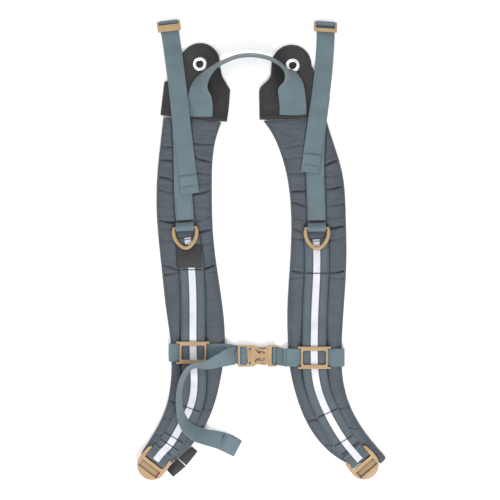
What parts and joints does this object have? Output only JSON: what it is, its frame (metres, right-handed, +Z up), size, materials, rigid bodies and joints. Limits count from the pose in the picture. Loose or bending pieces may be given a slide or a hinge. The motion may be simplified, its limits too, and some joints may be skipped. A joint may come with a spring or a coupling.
{
  "type": "shoulder strap harness",
  "caption": "Pair of padded pack shoulder straps with yoke tabs, haul loop, load lifters, D-rings, ladder-locks and a sternum strap with side-release buckle, laid flat",
  "frame": {"origin": "on the resting surface, under the middle of the harness's outline", "axes": "+Y to the yoke end, +Z up from the pads' back to their face, +X to the right in plan"},
  "size_m": [0.3529, 0.6526, 0.0448],
  "materials": {
    "black_coated_fabric": "coated pebbled fabric, satin",
    "stiffener_sheet": "extruded sheet",
    "plated_metal": "nickel plated",
    "foam": "closed cell foam",
    "slate_fabric": "ripstop weave",
    "spacer_mesh": "open knitted mesh",
    "dark_webbing": "flat webbing",
    "slate_webbing": "ribbed polyester webbing",
    "reflective_tape": "glass bead reflective",
    "tan_acetal": "moulded, fine texture",
    "thread": "bonded thread"
  },
  "bodies": {
    "straps": {"anchor_cover_front_left": "black_coated_fabric", "anchor_stiffener_left": "stiffener_sheet", "anchor_cover_back_left": "black_coated_fabric", "grommet_left": "plated_metal", "grommet_washer_left": "plated_metal", "foam_core_left": "foam", "pad_face_left": "slate_fabric", "pad_back_left": "spacer_mesh", "edge_binding_left": "slate_fabric", "centre_band_left": "dark_webbing", "reflective_tape_left": "reflective_tape", "lifter_strap_left": "slate_webbing", "d_ring_loop_left": "slate_webbing", "ladder_lock_loop_left": "dark_webbing", "bartacks_left": "thread", "anchor_cover_front_right": "black_coated_fabric", "anchor_stiffener_right": "stiffener_sheet", "anchor_cover_back_right": "black_coated_fabric", "grommet_right": "plated_metal", "grommet_washer_right": "plated_metal", "foam_core_right": "foam", "pad_face_right": "slate_fabric", "pad_back_right": "spacer_mesh", "edge_binding_right": "slate_fabric", "centre_band_right": "dark_webbing", "reflective_tape_right": "reflective_tape", "lifter_strap_right": "slate_webbing", "d_ring_loop_right": "slate_webbing", "ladder_lock_loop_right": "dark_webbing", "bartacks_right": "thread", "haul_loop": "slate_webbing", "woven_label": "black_coated_fabric", "size_tag": "black_coated_fabric", "trim_tag": "black_coated_fabric"},
    "sternum": {"sternum_strap_left": "slate_webbing", "sternum_strap_right": "slate_webbing", "sternum_slider_left": "tan_acetal", "sternum_slider_right": "tan_acetal", "sternum_tail": "slate_webbing", "buckle_socket": "tan_acetal", "buckle_plug": "tan_acetal"},
    "prong_upper": {"plug_prong_upper": "tan_acetal"},
    "prong_lower": {"plug_prong_lower": "tan_acetal"},
    "ring_left": {"d_ring_left": "tan_acetal"},
    "ring_right": {"d_ring_right": "tan_acetal"},
    "lifter_left": {"lifter_buckle_left": "tan_acetal"},
    "lifter_right": {"lifter_buckle_right": "tan_acetal"},
    "lock_left": {"ladder_lock_left": "tan_acetal"},
    "lock_right": {"ladder_lock_right": "tan_acetal"}
  },
  "joints": [
    {"name": "sternum_height", "type": "slide", "parent": "straps", "child": "sternum", "axis": [0, 1, 0], "range_m": [-0.012, 0.012]},
    {"name": "prong_upper_squeeze", "type": "hinge", "parent": "sternum", "child": "prong_upper", "pos_m": [-0.015, -0.1401, 0.0075], "axis": [0, 0, -1], "range_deg": [0, 8], "stiffness_Nm_per_rad": 0.02},
    {"name": "prong_lower_squeeze", "type": "hinge", "parent": "sternum", "child": "prong_lower", "pos_m": [-0.015, -0.1599, 0.0075], "axis": [0, 0, 1], "range_deg": [0, 8], "stiffness_Nm_per_rad": 0.02},
    {"name": "d_ring_left_swing", "type": "hinge", "parent": "straps", "child": "ring_left", "pos_m": [-0.1081, 0.0314, 0.015], "axis": [-0.9981, -0.061, 0], "range_deg": [0, 150]},
    {"name": "lifter_buckle_left_tilt", "type": "hinge", "parent": "straps", "child": "lifter_left", "pos_m": [-0.1316, 0.3224, 0.0043], "axis": [-0.9925, -0.1219, 0], "range_deg": [0, 70]},
    {"name": "ladder_lock_left_tilt", "type": "hinge", "parent": "straps", "child": "lock_left", "pos_m": [-0.14912, -0.29746, 0.0142], "axis": [-0.7912, 0.6115, 0], "range_deg": [-8, 12]},
    {"name": "d_ring_right_swing", "type": "hinge", "parent": "straps", "child": "ring_right", "pos_m": [0.0787, 0.0307, 0.015], "axis": [-0.9999, -0.014, 0], "range_deg": [0, 150]},
    {"name": "lifter_buckle_right_tilt", "type": "hinge", "parent": "straps", "child": "lifter_right", "pos_m": [0.0915, 0.3211, 0.0043], "axis": [-0.9976, 0.0698, 0], "range_deg": [0, 70]},
    {"name": "ladder_lock_right_tilt", "type": "hinge", "parent": "straps", "child": "lock_right", "pos_m": [0.13963, -0.2972, 0.0142], "axis": [-0.757, -0.6534, 0], "range_deg": [-8, 12]}
  ]
}
